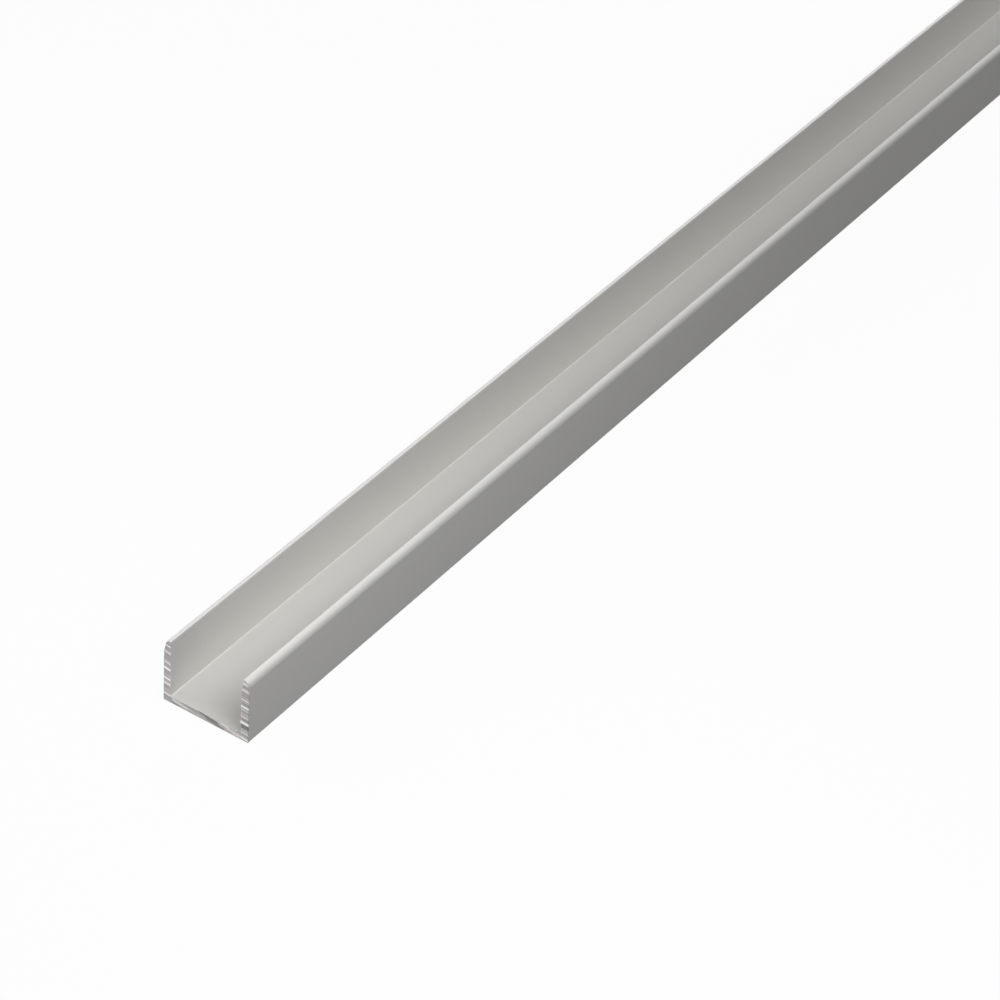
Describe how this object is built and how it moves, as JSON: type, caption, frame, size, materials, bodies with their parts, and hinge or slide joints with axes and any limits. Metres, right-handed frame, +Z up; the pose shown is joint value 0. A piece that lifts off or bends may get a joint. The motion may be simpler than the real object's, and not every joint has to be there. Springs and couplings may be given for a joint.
{
  "type": "aluminium u channel profile",
  "caption": "Straight U-shaped aluminium extrusion with a flat web and rounded flange tips, sawn square, used to edge, frame or guide panels.",
  "frame": {"origin": "underside of the web, at the middle of the stock's length and width", "axes": "+X along the stock, +Y across the section, +Z up out of the open channel"},
  "size_m": [1, 0.02, 0.015],
  "materials": {
    "anodised_aluminium": "satin silver anodised skin with bare sawn ends"
  },
  "bodies": {
    "root": {"u_channel": "anodised_aluminium"}
  },
  "joints": []
}
